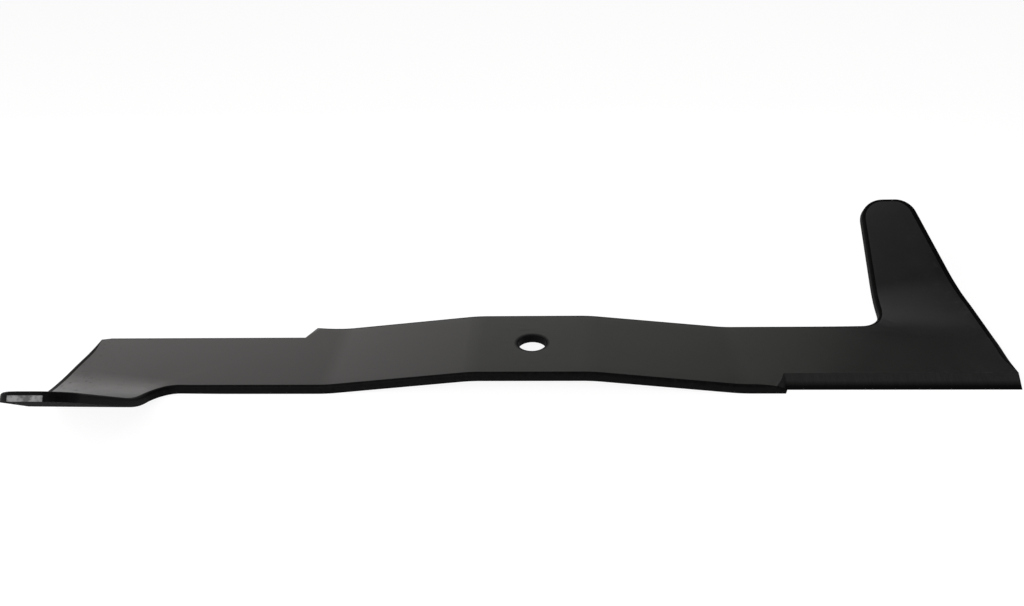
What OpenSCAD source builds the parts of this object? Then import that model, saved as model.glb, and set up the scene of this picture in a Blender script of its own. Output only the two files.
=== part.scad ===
// Rotary mower blade, one pressed steel piece, millimetres.
// X runs along the bar, Y across it, Z up; the origin is on the bolt axis, on the plane the blade rests on.
// The right end is drawn; the left end is the same end turned half a turn about the bolt axis.

/* [Bar] */
// Width of the bar
bar_width = 62; // [50:1:75]
// Thickness of the steel
thickness = 4.8; // [3:0.1:7]
// Half length at the corner of the cutting edge
corner_x = 260; // [200:1:320]
// Outward lean of the end edge, per millimetre of width
end_flare = 0.109; // [0:0.002:0.25]

/* [Raised centre] */
// Height of the centre section above the outer sections
centre_raise = 8.4; // [4:0.1:14]
// Half length of the flat centre, up to the first bend
centre_flat = 27; // [20:1:45]
// Slope of the ramps
ramp_angle = 6; // [3:0.5:15]
// Bend radius of the ramps at the underside
ramp_radius = 110; // [40:5:160]

/* [Bolt hole] */
// Bore diameter
bore_diameter = 16; // [10:0.5:26]
// Width of the rolled-over top edge of the bore
bore_edge_width = 2.4; // [0.2:0.1:3]
// Depth of the rolled-over top edge of the bore
bore_edge_depth = 0.4; // [0.2:0.1:2]

/* [Cutting edge] */
// Distance of the top line of the bevel from the edge of the bar
bevel_inset = 12.4; // [6:0.1:18]
// Distance of the cutting edge from the edge of the bar
edge_setback = 3.4; // [0:0.1:5]
// Height left at the cutting edge
edge_height = 0.3; // [0.2:0.1:1.5]
// Where the bevel starts, at the edge of the bar
bevel_start = 131.7; // [110:0.1:180]
// How much further out the bevel starts at its top line
bevel_skew = 5.4; // [0:0.1:15]
// Lean of the wall where the bevel runs out
runout_lean = 40; // [5:1:60]

/* [Wing] */
// Width of the wing at its foot, inwards from the corner of the cutting edge
wing_width = 52.9; // [35:0.1:80]
// Radius between the bar and the inner edge of the wing
root_radius = 13; // [4:0.5:20]
// Line where the wing plane would meet the top of the bar
wing_crease_y = 43; // [32:0.5:60]
// Slope of the wing
wing_angle = 39; // [20:0.5:60]
// Angle between the crease and the lines where the bend starts and ends
bend_fan = 10.7; // [6:0.1:20]
// How far inboard of the wing the bend starts, at the trailing edge of the bar
bend_lead = 42; // [10:1:60]
// Length of the wing plane from the crease to the tip
wing_length = 79; // [50:0.5:110]
// How far the outer edge of the wing stands out past the corner of the cutting edge, at the crease
wing_overhang = 3.5; // [0:0.1:12]
// Inward lean of the outer edge, per millimetre of wing
wing_taper = 0.314; // [0:0.005:0.6]
// Radius of the inner tip corner
tip_inner_radius = 14.5; // [2:0.5:18]
// Radius of the outer tip corner
tip_outer_radius = 12.5; // [2:0.5:18]
// Radius of the outer edge where the end of the bar runs into the wing
outer_radius = 110; // [30:1:150]

/* [Hidden] */
$fn = 128;

half_width = bar_width / 2;
paint_grey = [0.2, 0.2, 0.21];
// How far cutting shapes reach past the steel
far = 2 * corner_x;
// Flat steel runs this far into the bends, which sit this much higher, so that the two fuse
lap = 0.8;
lap_rise = 0.02;

// The ramps: two bends of the same underside radius and a straight slope between them
ramp_steps = 8;
bend_fall = 2 * ramp_radius * (1 - cos(ramp_angle));
slope_length = (centre_raise - bend_fall) / sin(ramp_angle);
outer_flat = centre_flat + 2 * ramp_radius * sin(ramp_angle) + slope_length * cos(ramp_angle);

// The wing bend is part of a cone; its tip lies on the crease, inboard of the wing
wing_inner_x = corner_x - wing_width;
wing_outer_x = corner_x + wing_overhang;
bend_root_x = wing_inner_x - bend_lead;
cone_x = bend_root_x - (wing_crease_y - half_width) / tan(bend_fan);
axis_rise = atan(tan(bend_fan) / sin(wing_angle / 2));
cone_half_angle = asin(sin(axis_rise) * cos(wing_angle / 2));
bend_sweep = acos((cos(wing_angle) - pow(sin(cone_half_angle), 2)) / pow(cos(cone_half_angle), 2));
cone_near = 40;
cone_far = 200;

// Lines where the bend starts, in plan, and where it ends, in the wing plane, each run on by the lap
function bend_start_y(x) = wing_crease_y + lap / cos(bend_fan) - (x - cone_x) * tan(bend_fan);
function bend_end_s(x) = (x - cone_x) * tan(bend_fan) - lap / cos(bend_fan);
function end_edge_x(y) = corner_x + end_flare * (y + half_width);
function wing_edge_x(s) = wing_outer_x - wing_taper * s;

// Tip corners of the wing, in the wing plane
tip_steps = 24;
taper_angle = atan(wing_taper);
tip_inner_centre = [wing_inner_x + tip_inner_radius, wing_length - tip_inner_radius];
tip_outer_s = wing_length - tip_outer_radius;
tip_outer_centre = [wing_edge_x(tip_outer_s) - tip_outer_radius / cos(taper_angle), tip_outer_s];
tip_outer_side = tip_outer_centre + tip_outer_radius * [cos(taper_angle), sin(taper_angle)];

// Points along a round, from one direction to another
function arc(centre, radius, from, to, steps) = [
    for (i = [0 : steps])
        let (angle = from + (to - from) * i / steps)
            centre + radius * [cos(angle), sin(angle)]
];

// Side view of the joggled strip: over the right half and back under it, then the same mirrored
module strip_side() {
    upper_bend = [centre_flat, centre_raise - ramp_radius];
    lower_bend = [outer_flat, ramp_radius];
    right_side = concat(
        arc(upper_bend, ramp_radius + thickness, 90, 90 - ramp_angle, ramp_steps),
        arc(lower_bend, ramp_radius - thickness, 270 - ramp_angle, 270, ramp_steps),
        [[far, thickness], [far, 0]],
        arc(lower_bend, ramp_radius, 270, 270 - ramp_angle, ramp_steps),
        arc(upper_bend, ramp_radius, 90 - ramp_angle, 90, ramp_steps)
    );
    last = len(right_side) - 1;
    left_side = [for (i = [last : -1 : 0]) [-right_side[i].x, right_side[i].y]];
    polygon(concat(right_side, left_side));
}

// Flat and joggled steel, up to the lines where the wing bends start
module bar() {
    right_side = [[far, -far], [far, bend_start_y(far)], [0, bend_start_y(0)]];
    intersection() {
        rotate([90, 0, 0]) linear_extrude(2 * bar_width, center = true) strip_side();
        translate([0, 0, -far]) linear_extrude(2 * far)
            polygon(concat(right_side, [for (corner = right_side) -corner]));
    }
}

// Plan of the whole blade; the tips of the wings are left open
module blade_plan() {
    root_x = wing_inner_x - root_radius;
    root_y = half_width + root_radius;
    right_end = [
        [corner_x, -half_width], [end_edge_x(far), far], [wing_inner_x, far],
        [wing_inner_x, root_y], [root_x, root_y], [root_x, half_width]
    ];
    difference() {
        polygon(concat(right_end, [for (corner = right_end) -corner]));
        both_ends() translate([root_x, root_y]) circle(r = root_radius);
    }
}

// Coordinates of the wing plane: X along the crease, Y up the slope, Z out of its upper face
module on_wing() {
    translate([0, wing_crease_y, thickness]) rotate([wing_angle, 0, 0]) children();
}

// Bend between the bar and the wing, trimmed by the outer edge of the wing
module wing_bend() {
    side = [sin(cone_half_angle), cos(cone_half_angle)];
    out = [cos(cone_half_angle), -sin(cone_half_angle)];
    upper = -lap_rise * out;
    lower = upper + thickness * out;
    intersection() {
        translate([cone_x, wing_crease_y, thickness])
            rotate([wing_angle / 2, 0, 0]) rotate([0, 90 - axis_rise, 0]) rotate(-bend_sweep / 2)
                rotate_extrude(angle = bend_sweep)
                    polygon([
                        cone_near * side + upper, cone_far * side + upper,
                        cone_far * side + lower, cone_near * side + lower
                    ]);
        on_wing() translate([0, 0, -far]) linear_extrude(2 * far)
            polygon([[0, -far], [wing_edge_x(-far), -far], tip_outer_side, [0, tip_outer_side.y]]);
    }
}

// Outline of the flat part of the wing, in the wing plane
module wing_outline() {
    intersection() {
        polygon(concat(
            [[wing_inner_x, -far], [wing_edge_x(-far), -far]],
            arc(tip_outer_centre, tip_outer_radius, taper_angle, 90, tip_steps),
            arc(tip_inner_centre, tip_inner_radius, 90, 180, tip_steps)
        ));
        polygon([[0, bend_end_s(0)], [far, bend_end_s(far)], [far, far], [0, far]]);
    }
}

module wing() {
    wing_bend();
    on_wing() translate([0, 0, -thickness]) linear_extrude(thickness) wing_outline();
}

// Corner taken off the outer edge between the bar and the wing, seen square to the middle of the bend
module outer_corner_cut() {
    half_turn = wing_angle / 2;
    bar_lean = end_flare / cos(half_turn);
    wing_lean = wing_taper / cos(half_turn);
    corner = (wing_outer_x - end_edge_x(wing_crease_y)) / (bar_lean + wing_lean) * [-wing_lean, 1];
    from = -atan(bar_lean);
    to = atan(wing_lean);
    middle = (from + to) / 2;
    inset = (outer_radius - lap_rise) / cos((to - from) / 2);
    translate([wing_outer_x, wing_crease_y, thickness]) rotate([half_turn, 0, 0])
        translate([0, 0, -far]) linear_extrude(2 * far)
            translate(corner - inset * [cos(middle), sin(middle)])
                difference() {
                    polygon([[0, 0], far * [cos(from), sin(from)], far * [cos(to), sin(to)]]);
                    circle(r = outer_radius);
                }
}

// Steel ground away in front of the cutting edge of the right end
module bevel_cut() {
    top_y = bevel_inset - half_width;
    edge_y = edge_setback - half_width;
    skew = atan(bevel_skew / bevel_inset);
    intersection() {
        rotate([90, 0, 90]) linear_extrude(far)
            polygon([
                [top_y, thickness], [edge_y, edge_height], [edge_y, -far],
                [-far, -far], [-far, far], [top_y, far]
            ]);
        translate([bevel_start, -half_width, thickness]) rotate(-skew) rotate([0, -runout_lean, 0])
            translate([0, -far / 2, -far / 2]) cube(far);
    }
}

module bore_cut() {
    bore_radius = bore_diameter / 2;
    top = centre_raise + thickness;
    cylinder(h = far, r = bore_radius);
    translate([0, 0, top - bore_edge_depth])
        cylinder(h = 2 * bore_edge_depth, r1 = bore_radius, r2 = bore_radius + 2 * bore_edge_width);
}

module both_ends() {
    children();
    rotate(180) children();
}

module blade() {
    color(paint_grey)
        difference() {
            intersection() {
                union() {
                    bar();
                    both_ends() wing();
                }
                translate([0, 0, -far]) linear_extrude(2 * far) blade_plan();
            }
            both_ends() {
                outer_corner_cut();
                bevel_cut();
            }
            bore_cut();
        }
}

blade();
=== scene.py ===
"""Looks of the rotary mower blade: satin black paint on pressed steel, in soft studio light.

All lengths are in metres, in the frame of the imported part: X along the bar, Y across it, Z up.
"""

import math

import bmesh
import bpy
from mathutils import Matrix, Vector
from mathutils.geometry import delaunay_2d_cdt


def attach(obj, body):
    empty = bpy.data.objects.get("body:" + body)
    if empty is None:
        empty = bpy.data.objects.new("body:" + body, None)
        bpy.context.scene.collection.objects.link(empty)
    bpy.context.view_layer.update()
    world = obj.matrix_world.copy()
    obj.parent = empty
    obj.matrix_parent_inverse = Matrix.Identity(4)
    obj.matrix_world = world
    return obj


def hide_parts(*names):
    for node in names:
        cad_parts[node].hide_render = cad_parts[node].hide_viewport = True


MM = 0.001
WHITE = (1.0, 1.0, 1.0, 1.0)
RISING = (0.0, 1.0)
FALLING = (1.0, 0.0)

# Camera: angles in degrees, lens and sensor in millimetres
CAMERA_PLACE = (13.2 * MM, -406.6 * MM, 270.0 * MM)
CAMERA_PITCH = 29.55
CAMERA_YAW = -3.353
CAMERA_ROLL = -2.008
CAMERA_LENS = 29.818
SENSOR_WIDTH = 36.0
CLIP_NEAR = 0.01
CLIP_FAR = 50.0

# Light tent: radiance along X, from the far left to the far right
TENT = [
    (0.0, (0.36, 0.34, 0.345)), (0.35, (0.32, 0.31, 0.305)), (0.5, 0.17), (0.65, 0.02), (1.0, 0.15),
]
# Its gain, from the horizon up to where it is plain
TENT_RISE = (0.0, 0.3)
TENT_GAIN = (9.5, 1.0)
# Heights of direction between which the white backdrop gives way to the tent
BACKDROP_TOP = (0.1, 0.15)

# Card behind the blade that its upper face mirrors: place, size, and radiance over its reach along X
CARD_PLACE = (0.0, 0.5, 0.52)
CARD_SIZE = (2.0, 0.78)
CARD_REACH = (-0.7, 0.7)
CARD = [
    (0.08, (0.66, 0.63, 0.62)), (0.27, (0.63, 0.605, 0.595)), (0.37, (0.45, 0.44, 0.425)),
    (0.45, (0.37, 0.37, 0.35)), (0.55, (0.365, 0.37, 0.345)), (0.66, (0.36, 0.365, 0.34)),
    (0.715, (0.30, 0.30, 0.28)), (0.77, (0.13, 0.13, 0.125)), (0.83, (0.08, 0.08, 0.077)),
    (0.9, (0.01, 0.01, 0.01)),
]
# Its gain between two heights
CARD_RISE = (0.28, 0.42)
CARD_GAIN = (1.15, 0.85)

# Softboxes: direction they stand in, point they aim at, distance from it, side and radiance
KEY = ((-0.45, -0.66, 0.60), (-0.1, -0.05, 0.0), 1.3, 1.1, 3.5)
FILL = ((0.2, 0.46, 0.86), (0.23, 0.04, 0.01), 0.9, 0.36, 0.62)
TOP = ((0.09, 0.015, 0.76), (0.225, 0.085, 0.04), 0.77, 0.4, 0.75)

# Floor: half its side, its tone for bounced light and as seen, and the glow that makes it white
FLOOR_SIZE = 6.0
FLOOR_TONE = (0.85, 0.2)
FLOOR_GLOW = 0.9

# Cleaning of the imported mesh: points this close are one, slivers this thin go, and faces within
# this angle are one plane
WELD = 0.05 * MM
THIN = 0.04 * MM
FLAT_ANGLE = 0.4
# Surfaces of the steel are told apart where they meet at more than this angle
SURFACE_ANGLE = 18.0
# Radius that holds the bore with its rolled edge
BORE_RIM = 10.6 * MM
# Ground faces: within this half width, tilted between these limits, and larger than this
BAR_HALF = 31.5 * MM
GROUND_TILT = (0.4, 0.97)
GROUND_AREA = 10.0 * MM * MM
# Straight ends of the wings: further out than this, and facing up at least this much
TIP_Y = 95.0 * MM
TIP_TILT = 0.6

# Rounding of the upper edges: depth, how much wider it is along the ends of the blade, steps and profile
ROUND_DEPTH = 2.0 * MM
ROUND_EXTRA = 0.9
ROUND_STEPS = 5
ROUND_PROFILE = 0.75
# It runs out towards the ground faces, over this length or most of the edge
RUN_OUT = 18.0 * MM
RUN_OUT_MOST = 0.9
RUN_OUT_STEPS = 6
# Steps down the rolled edge of the bore
ROLL_STEPS = 6

# Points of an outline are dropped when they crowd the last one or are this near to a straight line
CROWDED = 0.35 * MM
IN_LINE = 0.006 * MM
# Outlines have a corner where they turn by more than this
CORNER_ANGLE = 25.0
# Points inside the outline: step along the bends, least spacing, and how far they keep from the upper edge
SAMPLE_STEP = 4.0 * MM
SAMPLE_CELL = 1.5 * MM
UPPER_MARGIN = ROUND_DEPTH * (1.0 + ROUND_EXTRA) + SAMPLE_CELL
# Kind of triangulation that fills within the outline, and its tolerance
INSIDE = 1
FILL_TOLERANCE = 1e-7
# Points this close share a vertex, and edges that turn by more than this stay sharp
JOIN = 0.002 * MM
SHARP_ANGLE = 34.0
TINY = 1e-9

# Kinds of surface, in the order of the material slots
FACE, EDGE, GROUND, DULL, TIP, ROLL = range(6)

# Grains in the paints: scale, detail and roughness of each noise
PATCHES = (28.0, 4.0, 0.6)
PEEL = (900.0, 2.0, 0.5)
SCUFFS = (330.0, 4.0, 0.65)
SPECKS = (420.0, 2.0, 0.5)
EDGE_GRAIN = (420.0, 4.0, 0.6)
WHEEL_MARKS = (1100.0, 3.0, 0.6)
DULL_GRAIN = (260.0, 5.0, 0.65)
RUBBING_AND_HIGHLIGHT = (260.0, 3.0, 0.55)
SCUFF_STRETCH = (0.25, 1.0, 1.0)
WHEEL_STRETCH = (1.0, 0.12, 0.12)

# Paint of the upper face: radii of the scuffs, where the specks start and are full, and what they change
SCUFF_REACH = (12.0 * MM, 34.0 * MM)
SCUFF_SHOWS = (0.5, 0.7)
SPECK_REACH = (205.0 * MM, 262.0 * MM)
SPECK_SHOWS = (0.62, 0.7)
MARK_LIFT = 0.006
MARK_ROUGH = 0.2
PATCH_SHOWS = (0.3, 0.7)
FACE_TONE = (0.0055, 0.0085)
FACE_ROUGH = (0.24, 0.4)
# Tones of the other paints over their grain, and their roughness
EDGE_TONE = [(0.3, 0.001), (0.64, 0.003), (0.76, 0.014)]
EDGE_ROUGH = (0.5, 0.65)
GROUND_TONE = [(0.3, 0.018), (0.75, 0.023)]
GROUND_ROUGH = (0.5, 0.7)
DULL_TONE = [(0.3, 0.0045), (0.75, 0.009)]
DULL_ROUGH = (0.85, 0.98)
# Tip paint: worn paint on the straight wing ends, lightened further to serve as a painted highlight
TIP_WEAR_AND_HIGHLIGHT_TONE = [(0.36, 0.025), (0.62, 0.19)]
TIP_ROUGH = (0.35, 0.55)
# Painted shade: the colour of the ground bevel darkens between these heights, down to its cutting edge
GROUND_RISE = (1.0 * MM, 2.6 * MM)
GROUND_PAINTED_SHADE = (0.1, 1.0)
# The rolled edge of the bore turns dull between these radii
ROLL_REACH = (10.4 * MM, 8.1 * MM)
ROLL_ROUGH = (0.32, 0.9)
ROLL_SHINE = (0.5, 0.02)
# Bump strength and shine of each paint, depth of the bumps and index of refraction
FACE_SKIN = (0.04, 0.5)
EDGE_SKIN = (0.12, 0.05)
GROUND_SKIN = (0.1, 0.05)
DULL_SKIN = (0.15, 0.02)
TIP_SKIN = (0.2, 0.4)
ROLL_BUMP = 0.05
BUMP_DEPTH = 0.2 * MM
PAINT_IOR = 1.5


def make_camera():
    data = bpy.data.cameras.new("camera")
    data.lens = CAMERA_LENS
    data.sensor_width = SENSOR_WIDTH
    data.sensor_fit = "HORIZONTAL"
    data.clip_start = CLIP_NEAR
    data.clip_end = CLIP_FAR
    camera = bpy.data.objects.new("camera", data)
    turn = Matrix.Rotation(math.radians(-CAMERA_YAW), 4, "Z")
    tip = Matrix.Rotation(math.radians(90.0 - CAMERA_PITCH), 4, "X")
    roll = Matrix.Rotation(math.radians(CAMERA_ROLL), 4, "Z")
    camera.matrix_world = Matrix.Translation(CAMERA_PLACE) @ turn @ tip @ roll
    bpy.context.scene.collection.objects.link(camera)
    bpy.context.scene.camera = camera


def node(tree, kind, inputs=None, **settings):
    """Adds a node, sets its properties, then its inputs from values or from other nodes' sockets."""
    made = tree.nodes.new(kind)
    for key, value in settings.items():
        setattr(made, key, value)
    for key, value in (inputs or {}).items():
        if isinstance(value, bpy.types.NodeSocket):
            tree.links.new(value, made.inputs[key])
        else:
            made.inputs[key].default_value = value
    return made


def ramp(tree, source, stops, interpolation="EASE"):
    """A colour ramp of greys or colours from (place, value) pairs."""
    made = node(tree, "ShaderNodeValToRGB", {"Fac": source})
    made.color_ramp.interpolation = interpolation
    elements = made.color_ramp.elements
    while len(elements) < len(stops):
        elements.new(0.5)
    for element, (place, value) in zip(elements, stops):
        element.position = place
        element.color = (*value, 1.0) if isinstance(value, tuple) else (value, value, value, 1.0)
    return made.outputs["Color"]


def math_node(tree, operation, first, second):
    return node(tree, "ShaderNodeMath", {0: first, 1: second}, operation=operation).outputs["Value"]


def map_range(tree, source, start, end):
    """Maps a value from one range to another, held at both ends."""
    made = node(tree, "ShaderNodeMapRange", {
        "Value": source, "From Min": start[0], "From Max": start[1], "To Min": end[0], "To Max": end[1],
    })
    return made.outputs["Result"]


def noise(tree, place, scale, detail, roughness):
    made = node(tree, "ShaderNodeTexNoise", {
        "Vector": place, "Scale": scale, "Detail": detail, "Roughness": roughness,
    })
    return made.outputs["Fac"]


def axes_of(tree, place):
    return node(tree, "ShaderNodeSeparateXYZ", {"Vector": place}).outputs


def radius_of(tree, axes):
    """Distance from the axis of the bore."""
    flat = node(tree, "ShaderNodeCombineXYZ", {"X": axes["X"], "Y": axes["Y"]}).outputs["Vector"]
    return node(tree, "ShaderNodeVectorMath", {0: flat}, operation="LENGTH").outputs["Value"]


def stretched(tree, place, scale):
    return node(tree, "ShaderNodeMapping", {"Vector": place, "Scale": scale}).outputs["Vector"]


def seen_directly(tree):
    """One for rays from the camera, mirrored or through glass, else zero."""
    path = node(tree, "ShaderNodeLightPath").outputs
    seen = math_node(tree, "MAXIMUM", path["Is Camera Ray"], path["Is Glossy Ray"])
    return math_node(tree, "MAXIMUM", seen, path["Is Transmission Ray"])


def make_world():
    """A light tent, bright at the left and falling off to the right, with a low white backdrop."""
    world = bpy.data.worlds.new("studio")
    bpy.context.scene.world = world
    world.use_nodes = True
    tree = world.node_tree
    tree.nodes.clear()
    axes = axes_of(tree, node(tree, "ShaderNodeTexCoord").outputs["Generated"])
    across = map_range(tree, axes["X"], (-1.0, 1.0), RISING)
    tent = node(tree, "ShaderNodeBackground", {
        "Color": ramp(tree, across, TENT, "LINEAR"),
        "Strength": map_range(tree, axes["Z"], TENT_RISE, TENT_GAIN),
    })
    white = node(tree, "ShaderNodeBackground", {"Color": WHITE, "Strength": 1.0})
    low = map_range(tree, axes["Z"], BACKDROP_TOP, FALLING)
    both = node(tree, "ShaderNodeMixShader", {
        0: math_node(tree, "MULTIPLY", low, seen_directly(tree)),
        1: tent.outputs["Background"],
        2: white.outputs["Background"],
    })
    out = node(tree, "ShaderNodeOutputWorld")
    tree.links.new(both.outputs["Shader"], out.inputs["Surface"])


def make_softbox(name, towards, aim, distance, side, radiance):
    data = bpy.data.lights.new(name, "AREA")
    data.shape = "SQUARE"
    data.size = side
    data.energy = radiance * math.pi * side * side
    lamp = bpy.data.objects.new(name, data)
    direction = Vector(towards).normalized()
    lamp.location = Vector(aim) + direction * distance
    lamp.rotation_euler = direction.to_track_quat("Z", "Y").to_euler()
    bpy.context.scene.collection.objects.link(lamp)


def make_card():
    """Upright softbox behind the blade that fades from left to right and from its foot upwards."""
    data = bpy.data.lights.new("card", "AREA")
    data.shape = "RECTANGLE"
    data.size, data.size_y = CARD_SIZE
    data.energy = math.pi * data.size * data.size_y
    data.use_nodes = True
    tree = data.node_tree
    tree.nodes.clear()
    axes = axes_of(tree, node(tree, "ShaderNodeNewGeometry").outputs["Position"])
    across = map_range(tree, axes["X"], CARD_REACH, RISING)
    light = node(tree, "ShaderNodeEmission", {
        "Color": ramp(tree, across, CARD, "LINEAR"),
        "Strength": map_range(tree, axes["Z"], CARD_RISE, CARD_GAIN),
    })
    out = node(tree, "ShaderNodeOutputLight")
    tree.links.new(light.outputs["Emission"], out.inputs["Surface"])
    card = bpy.data.objects.new("card", data)
    card.location = CARD_PLACE
    card.rotation_euler = Vector((0.0, 1.0, 0.0)).to_track_quat("Z", "Y").to_euler()
    bpy.context.scene.collection.objects.link(card)


def make_floor():
    """White floor that keeps a faint shadow."""
    mesh = bpy.data.meshes.new("floor")
    size = FLOOR_SIZE
    corners = [(-size, -size, 0.0), (size, -size, 0.0), (size, size, 0.0), (-size, size, 0.0)]
    mesh.from_pydata(corners, [], [(0, 1, 2, 3)])
    floor = bpy.data.objects.new("floor", mesh)
    bpy.context.scene.collection.objects.link(floor)
    material = bpy.data.materials.new("floor_white")
    material.use_nodes = True
    tree = material.node_tree
    tree.nodes.clear()
    seen = seen_directly(tree)
    matt = node(tree, "ShaderNodeBsdfDiffuse", {"Color": map_range(tree, seen, RISING, FLOOR_TONE)})
    glow = node(tree, "ShaderNodeEmission", {
        "Color": WHITE, "Strength": math_node(tree, "MULTIPLY", seen, FLOOR_GLOW),
    })
    both = node(tree, "ShaderNodeAddShader", {0: matt.outputs["BSDF"], 1: glow.outputs["Emission"]})
    out = node(tree, "ShaderNodeOutputMaterial")
    tree.links.new(both.outputs["Shader"], out.inputs["Surface"])
    mesh.materials.append(material)


def start_material(name):
    material = bpy.data.materials.new(name)
    material.use_nodes = True
    tree = material.node_tree
    tree.nodes.clear()
    return material, tree, node(tree, "ShaderNodeTexCoord").outputs["Object"]


def end_material(tree, colour, rough, height, bump, shine):
    """Shader of a paint from its colour, roughness, the height of its skin, bump strength and shine."""
    normal = node(tree, "ShaderNodeBump", {"Height": height, "Strength": bump, "Distance": BUMP_DEPTH})
    shader = node(tree, "ShaderNodeBsdfPrincipled", {
        "Base Color": colour, "Roughness": rough, "Normal": normal.outputs["Normal"],
        "IOR": PAINT_IOR, "Specular IOR Level": shine,
    })
    out = node(tree, "ShaderNodeOutputMaterial")
    tree.links.new(shader.outputs["BSDF"], out.inputs["Surface"])


def face_paint():
    """Satin black of the upper face: patches, orange peel, scuffs round the bore, specks at the ends."""
    material, tree, place = start_material("satin_black_paint")
    axes = axes_of(tree, place)
    ring = map_range(tree, radius_of(tree, axes), SCUFF_REACH, FALLING)
    ends = map_range(tree, math_node(tree, "ABSOLUTE", axes["X"], 0.0), SPECK_REACH, RISING)
    patches = noise(tree, place, *PATCHES)
    peel = noise(tree, place, *PEEL)
    scuff = noise(tree, stretched(tree, place, SCUFF_STRETCH), *SCUFFS)
    scuff = math_node(tree, "MULTIPLY", map_range(tree, scuff, SCUFF_SHOWS, RISING), ring)
    speck = noise(tree, place, *SPECKS)
    speck = math_node(tree, "MULTIPLY", map_range(tree, speck, SPECK_SHOWS, RISING), ends)
    marks = math_node(tree, "MAXIMUM", scuff, speck)
    tone = map_range(tree, patches, PATCH_SHOWS, FACE_TONE)
    tone = math_node(tree, "ADD", tone, math_node(tree, "MULTIPLY", marks, MARK_LIFT))
    colour = node(tree, "ShaderNodeCombineColor", {"Red": tone, "Green": tone, "Blue": tone})
    rough = map_range(tree, patches, RISING, FACE_ROUGH)
    rough = math_node(tree, "ADD", rough, math_node(tree, "MULTIPLY", marks, MARK_ROUGH))
    end_material(tree, colour.outputs["Color"], rough, peel, *FACE_SKIN)
    return material


def grained_paint(name, grain, tone, rough, skin):
    """Paint with a single grain in its tone, roughness and skin."""
    material, tree, place = start_material(name)
    height = noise(tree, place, *grain)
    end_material(tree, ramp(tree, height, tone), map_range(tree, height, RISING, rough), height, *skin)
    return material


def ground_paint():
    """Paint over the ground bevel, with the marks of the wheel across it and painted shade that darkens it
    towards its cutting edge.
    """
    material, tree, place = start_material("ground_paint")
    marks = noise(tree, stretched(tree, place, WHEEL_STRETCH), *WHEEL_MARKS)
    # painted shade: the colour gets darker towards the cutting edge
    painted_shade = map_range(tree, axes_of(tree, place)["Z"], GROUND_RISE, GROUND_PAINTED_SHADE)
    tone = ramp(tree, marks, GROUND_TONE)
    colour = node(tree, "ShaderNodeVectorMath", {0: tone, "Scale": painted_shade}, operation="SCALE")
    rough = map_range(tree, marks, RISING, GROUND_ROUGH)
    end_material(tree, colour.outputs["Vector"], rough, marks, *GROUND_SKIN)
    return material


def roll_paint():
    """Paint of the rolled edge of the bore, satin at its rim and dull at its lip."""
    material, tree, place = start_material("rolled_edge_paint")
    dull = map_range(tree, radius_of(tree, axes_of(tree, place)), ROLL_REACH, RISING)
    grain = noise(tree, place, *DULL_GRAIN)
    rough = map_range(tree, dull, RISING, ROLL_ROUGH)
    shine = map_range(tree, dull, RISING, ROLL_SHINE)
    end_material(tree, ramp(tree, grain, DULL_TONE), rough, grain, ROLL_BUMP, shine)
    return material


def make_paints():
    """One paint for each kind of surface, in the order of the kinds."""
    return [
        face_paint(),
        grained_paint("edge_paint", EDGE_GRAIN, EDGE_TONE, EDGE_ROUGH, EDGE_SKIN),
        ground_paint(),
        grained_paint("dull_paint", DULL_GRAIN, DULL_TONE, DULL_ROUGH, DULL_SKIN),
        # worn paint on the wing tips, made lighter to serve as a painted highlight
        grained_paint("worn_tip_paint_and_painted_highlight", RUBBING_AND_HIGHLIGHT, TIP_WEAR_AND_HIGHLIGHT_TONE, TIP_ROUGH, TIP_SKIN),
        roll_paint(),
    ]


def in_order(faces):
    """A set of faces in the order of their mesh, so that each run gives the same result."""
    return sorted(faces, key=lambda face: face.index)


def from_axis(point):
    """Distance of a point from the axis of the bore."""
    return math.hypot(point.x, point.y)


def clean_copy(cad):
    """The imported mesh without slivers, with faces of one plane joined."""
    bm = bmesh.new()
    bm.from_mesh(cad.data)
    bmesh.ops.remove_doubles(bm, verts=bm.verts, dist=WELD)
    bmesh.ops.dissolve_degenerate(bm, dist=THIN, edges=bm.edges)
    bmesh.ops.dissolve_limit(
        bm, angle_limit=math.radians(FLAT_ANGLE), use_dissolve_boundaries=False,
        verts=bm.verts, edges=bm.edges,
    )
    bm.normal_update()
    bm.faces.index_update()
    return bm


def spread(seed, faces):
    """All the faces that join a seed face through edges that bend less than the surface angle."""
    limit = math.radians(SURFACE_ANGLE)
    found = {seed}
    todo = [seed]
    while todo:
        for edge in todo.pop().edges:
            if len(edge.link_faces) == 2 and edge.calc_face_angle(0.0) < limit:
                for other in edge.link_faces:
                    if other in faces and other not in found:
                        found.add(other)
                        todo.append(other)
    return found


def area_facing_up(face):
    return face.normal.z * face.calc_area()


def is_ground(face):
    """Whether a face is part of a ground bevel or of the wall where it runs out."""
    if not GROUND_TILT[0] < face.normal.z < GROUND_TILT[1]:
        return False
    return face.calc_area() > GROUND_AREA and all(abs(v.co.y) < BAR_HALF for v in face.verts)


def sort_faces(bm):
    """Sets of the faces of the upper side, of the underside, of the ground bevels and of the bore."""
    every = set(bm.faces)
    upper = spread(max(in_order(every), key=area_facing_up), every)
    rest = every - upper
    under = spread(min(in_order(rest), key=area_facing_up), rest)
    ground = {face for face in rest - under if is_ground(face)}
    bore = {face for face in every if all(from_axis(v.co) < BORE_RIM for v in face.verts)}
    return upper - bore, under, ground, bore


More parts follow.
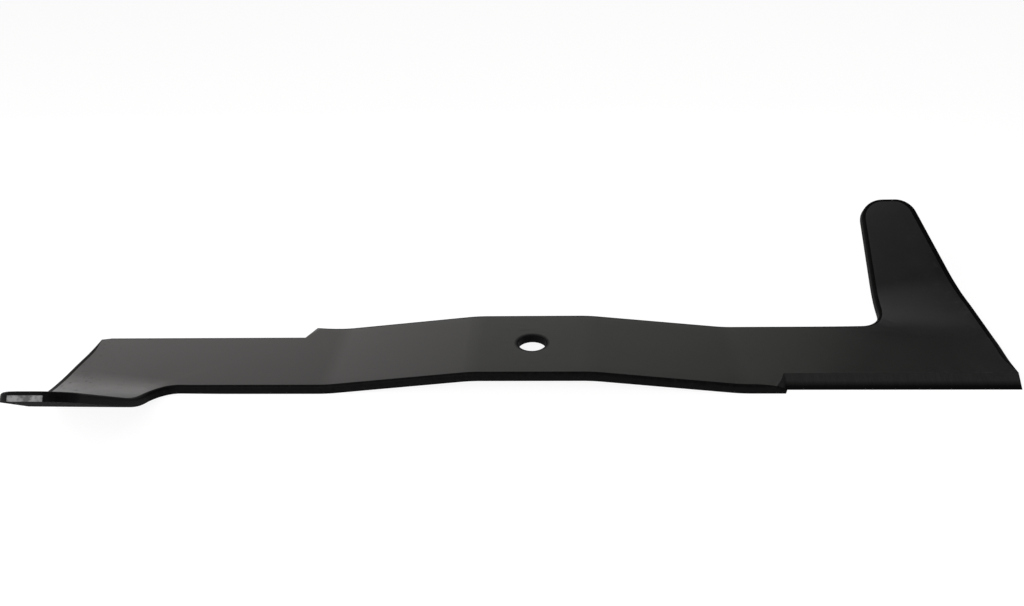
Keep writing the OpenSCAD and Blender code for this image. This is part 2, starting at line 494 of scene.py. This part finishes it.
def border(faces):
    """Outer loop of vertices round a set of faces, counter-clockwise about their normals,
    and the loop of the bore.
    """
    following = {}
    for face in in_order(faces):
        for loop in face.loops:
            if not any(other in faces for other in loop.edge.link_faces if other is not face):
                following.setdefault(loop.vert, []).append(loop.link_loop_next.vert)
    loops = []
    while following:
        chain = [next(iter(following))]
        while chain[-1] in following:
            ways = following[chain[-1]]
            here = ways.pop()
            if not ways:
                del following[chain[-1]]
            if here in chain:
                start = chain.index(here)
                loops.append(chain[start:])
                del chain[start + 1:]
            else:
                chain.append(here)
    outer = max(loops, key=lambda loop: max(v.co.x for v in loop) - min(v.co.x for v in loop))
    bore = [loop for loop in loops if all(from_axis(v.co) < BORE_RIM for v in loop)]
    return outer, max(bore, key=len)


def to_segment(point, first, second):
    """Closest point on a segment."""
    span = second - first
    share = (point - first).dot(span) / max(span.length_squared, TINY * TINY)
    return first + span * min(1.0, max(0.0, share))


def closest_on_loop(point, loop):
    """Place along a closed loop, as index and share, and the point there that is closest to a point."""
    least = math.inf
    best = None
    for index, first in enumerate(loop):
        second = loop[(index + 1) % len(loop)]
        near = to_segment(point, first, second)
        gap = (near - point).length
        if gap < least - TINY:
            least = gap
            share = (near - first).length / max((second - first).length, TINY)
            best = (index + share, near)
    return best


def thin_out(points):
    """Drops points of a closed loop that crowd the last one, then those in line with their neighbours.

    Each point is a place, a normal and whether it has to stay.
    """
    kept = []
    for point in points:
        if point[2] or not kept or (point[0] - kept[-1][0]).length > CROWDED:
            kept.append(point)
    result = []
    for index, point in enumerate(kept):
        before = kept[index - 1][0]
        after = kept[(index + 1) % len(kept)][0]
        if point[2] or (to_segment(point[0], before, after) - point[0]).length > IN_LINE:
            result.append(point)
    return result


def outline_of_top(top, ground):
    """Points of the outline of the upper face, each with its normal and its share of the rounding."""
    chain, bore = border(top)
    points = []
    for vert in chain:
        normal = sum((f.normal * f.calc_area() for f in vert.link_faces if f in top), Vector())
        points.append((vert.co.copy(), normal.normalized(), any(f in ground for f in vert.link_faces)))
    points = thin_out(points)
    result = []
    for index, (point, normal, cut) in enumerate(points):
        after, after_normal, after_cut = points[(index + 1) % len(points)]
        result.append((point, normal, 0.0 if cut else 1.0))
        if cut != after_cut:
            span = after - point
            shares = [step / RUN_OUT_STEPS for step in range(1, RUN_OUT_STEPS + 1)]
            for share in shares if cut else shares[::-1]:
                reach = min(RUN_OUT / span.length, RUN_OUT_MOST) * share
                place = point + span * (reach if cut else 1.0 - reach)
                result.append((place, after_normal if cut else normal, math.sin(share * math.pi / 2)))
    return result, [v.co.copy() for v in bore]


def outline_of_underside(under):
    """Points of the outline of the underside, in the direction of the outline of the upper face."""
    chain = [(vert.co.copy(), None, False) for vert in reversed(border(under)[0])]
    return [point[0] for point in thin_out(chain)]


def feet_of(outline, loop):
    """For each point of the outline, the points of the lower loop that the side below it runs to."""
    feet = [[closest_on_loop(point, loop)] for point, normal, share in outline]
    cuts = [index for index, point in enumerate(outline) if not point[2]]
    for index, corner in enumerate(loop):
        back = corner - loop[index - 1]
        ahead = loop[(index + 1) % len(loop)] - corner
        if back.angle(ahead, 0.0) > math.radians(CORNER_ANGLE):
            owner = min(cuts, key=lambda cut: (outline[cut][0] - corner).length)
            if all((corner - foot[1]).length > CROWDED for foot in feet[owner]):
                feet[owner].append((float(index), corner))
    half = len(loop) / 2
    for foot in feet:
        span = max(place for place, point in foot) - min(place for place, point in foot)
        wrap = len(loop) if span > half else 0
        foot.sort(key=lambda item: item[0] + (wrap if item[0] < half else 0))
    return [[point for place, point in foot] for foot in feet]


def rounding(outline, feet):
    """Rings of points round the upper edge, from the upper face to the side below it."""
    count = len(outline)
    rings = [[] for step in range(ROUND_STEPS + 1)]
    for index, (point, normal, share) in enumerate(outline):
        spans = (point - outline[index - 1][0], outline[(index + 1) % count][0] - point)
        before, after = (span.cross(normal).normalized() for span in spans)
        inwards = -(before + after) / (1.0 + before.dot(after))
        down = (feet[index][0] - point).normalized()
        outwards = max(0.0, min(1.0, math.copysign(-inwards.x, -inwards.x * point.x)))
        depth = share * ROUND_DEPTH
        width = depth * (1.0 + ROUND_EXTRA * outwards)
        for step, ring in enumerate(rings):
            turn = math.pi / 2 * step / ROUND_STEPS
            inset = 1.0 - math.sin(turn) ** ROUND_PROFILE
            drop = 1.0 - math.cos(turn) ** ROUND_PROFILE
            ring.append(point + inwards * inset * width + down * drop * depth)
    return rings


def bore_rings(bore, rim):
    """Rings of points down the rolled edge of the bore, from its rim to its lip, then at its lower end."""
    corners = [v.co for face in in_order(bore) for v in face.verts]
    radius = min(from_axis(corner) for corner in corners)
    wall = [corner.z for corner in corners if from_axis(corner) < radius + WELD]
    rings = []
    for step in range(ROLL_STEPS + 1):
        share = step / ROLL_STEPS
        ring = []
        for point in rim:
            scale = 1.0 - (1.0 - radius / from_axis(point)) * share
            height = point.z - (point.z - max(wall)) * share * share
            ring.append(Vector((point.x * scale, point.y * scale, height)))
        rings.append(ring)
    rings.append([Vector((point.x, point.y, min(wall))) for point in rings[-1]])
    return rings


def bend_points(faces, outline, margin):
    """Points along the bends of a surface that keep clear of its outline and of the bore."""
    taken = {}
    size = len(outline)
    for face in in_order(faces):
        for edge in face.edges:
            if len(edge.link_faces) != 2 or not all(f in faces for f in edge.link_faces):
                continue
            if edge.calc_length() < SAMPLE_STEP or edge.calc_face_angle(0.0) < math.radians(FLAT_ANGLE):
                continue
            first, second = (v.co for v in edge.verts)
            steps = max(1, round(edge.calc_length() / SAMPLE_STEP))
            for step in range(steps + 1):
                point = first.lerp(second, step / steps)
                cell = (round(point.x / SAMPLE_CELL), round(point.y / SAMPLE_CELL))
                if cell in taken or from_axis(point) < BORE_RIM + margin:
                    continue
                near = (to_segment(point, outline[i - 1], outline[i]) for i in range(size))
                if all((place - point).length > margin for place in near):
                    taken[cell] = point
    return list(taken.values())


def fill(outline, bore, inner, kind):
    """Triangles between an outline and the loop of the bore, through inner points."""
    points = outline + bore + inner
    count = len(outline)
    edges = [(i, (i + 1) % count) for i in range(count)]
    edges += [(count + i, count + (i + 1) % len(bore)) for i in range(len(bore))]
    found = delaunay_2d_cdt([point.xy for point in points], edges, [], INSIDE, FILL_TOLERANCE)
    hole = range(count, count + len(bore))
    faces = []
    for triangle in found[2]:
        corners = [found[3][corner][0] for corner in triangle]
        if not all(corner in hole for corner in corners):
            faces.append(([points[corner] for corner in corners], kind))
    return faces


def bridge(upper, lower, kind):
    """Quads between two rings of as many points."""
    faces = []
    for index in range(len(upper)):
        after = (index + 1) % len(upper)
        faces.append(([upper[index], upper[after], lower[after], lower[index]], kind))
    return faces


def sides(outline, ring, feet):
    """Faces of the cut edges and of the ground bevels, from the rounding down to the underside."""
    faces = []
    for index, (point, normal, share) in enumerate(outline):
        after = (index + 1) % len(outline)
        for first, second in zip(feet[index], feet[index][1:]):
            faces.append(([ring[index], second, first], EDGE))
        if not share and not outline[after][2]:
            kind = GROUND
        elif abs(ring[index].y) > TIP_Y:
            kind = TIP
        else:
            kind = EDGE
        faces.append(([ring[index], ring[after], feet[after][0], feet[index][-1]], kind))
    return faces


def skin_of(cad):
    """Faces, as points and kind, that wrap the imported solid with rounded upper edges."""
    bm = clean_copy(cad)
    top, under, ground, bore = sort_faces(bm)
    outline, rim = outline_of_top(top, ground)
    feet = feet_of(outline, outline_of_underside(under))
    lower = [point for foot in feet for point in foot]
    rings = rounding(outline, feet)
    hole = bore_rings(bore, rim)
    faces = fill(rings[0], hole[0], bend_points(top, [p[0] for p in outline], UPPER_MARGIN), FACE)
    for upper_ring, lower_ring in zip(rings, rings[1:]):
        faces += bridge(upper_ring, lower_ring, EDGE)
    faces += sides(outline, rings[-1], feet)
    faces += fill(lower, hole[-1], bend_points(under, lower, SAMPLE_CELL), DULL)
    for step, (upper_ring, lower_ring) in enumerate(zip(hole, hole[1:])):
        faces += bridge(upper_ring, lower_ring, ROLL if step < ROLL_STEPS else EDGE)
    bm.free()
    return faces


def mesh_of(faces):
    """A closed mesh from faces given as points and kind, smooth but for its sharp edges."""
    bm = bmesh.new()
    seen = {}
    for corners, kind in faces:
        ring = []
        for corner in corners:
            key = tuple(round(value / JOIN) for value in corner)
            if key not in seen:
                seen[key] = bm.verts.new(corner)
            if seen[key] not in ring:
                ring.append(seen[key])
        if len(ring) > 2:
            face = bm.faces.new(ring)
            face.material_index = kind
            face.smooth = True
    bmesh.ops.recalc_face_normals(bm, faces=bm.faces)
    bm.normal_update()
    for face in bm.faces:
        if face.material_index == TIP and face.normal.z < TIP_TILT:
            face.material_index = EDGE
    for edge in bm.edges:
        kinds = {face.material_index for face in edge.link_faces}
        bevel = GROUND in kinds and len(kinds) > 1
        edge.smooth = not bevel and edge.calc_face_angle(0.0) < math.radians(SHARP_ANGLE)
    mesh = bpy.data.meshes.new("blade_paint")
    bm.to_mesh(mesh)
    bm.free()
    return mesh


def make_blade(cad):
    """The blade with rounded upper edges and one paint for each kind of surface."""
    mesh = mesh_of(skin_of(cad))
    for paint in make_paints():
        mesh.materials.append(paint)
    blade = bpy.data.objects.new("blade_paint", mesh)
    bpy.context.scene.collection.objects.link(blade)
    shading = blade.modifiers.new("shading", "WEIGHTED_NORMAL")
    shading.mode = "FACE_AREA"
    shading.keep_sharp = True
    return blade


bpy.ops.wm.read_factory_settings(use_empty=True)
bpy.context.scene.view_settings.view_transform = "Standard"

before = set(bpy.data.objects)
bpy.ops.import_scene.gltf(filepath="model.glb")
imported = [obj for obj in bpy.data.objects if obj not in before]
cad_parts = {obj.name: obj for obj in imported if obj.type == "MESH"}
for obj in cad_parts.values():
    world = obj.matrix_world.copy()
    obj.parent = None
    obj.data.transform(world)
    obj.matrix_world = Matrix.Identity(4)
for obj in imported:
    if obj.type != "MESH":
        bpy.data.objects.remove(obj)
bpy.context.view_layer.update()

make_camera()
make_world()
make_card()
make_softbox("key", *KEY)
make_softbox("fill", *FILL)
make_softbox("top", *TOP)
make_floor()

blade = make_blade(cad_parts["blade"])
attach(blade, "root")
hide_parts("blade")
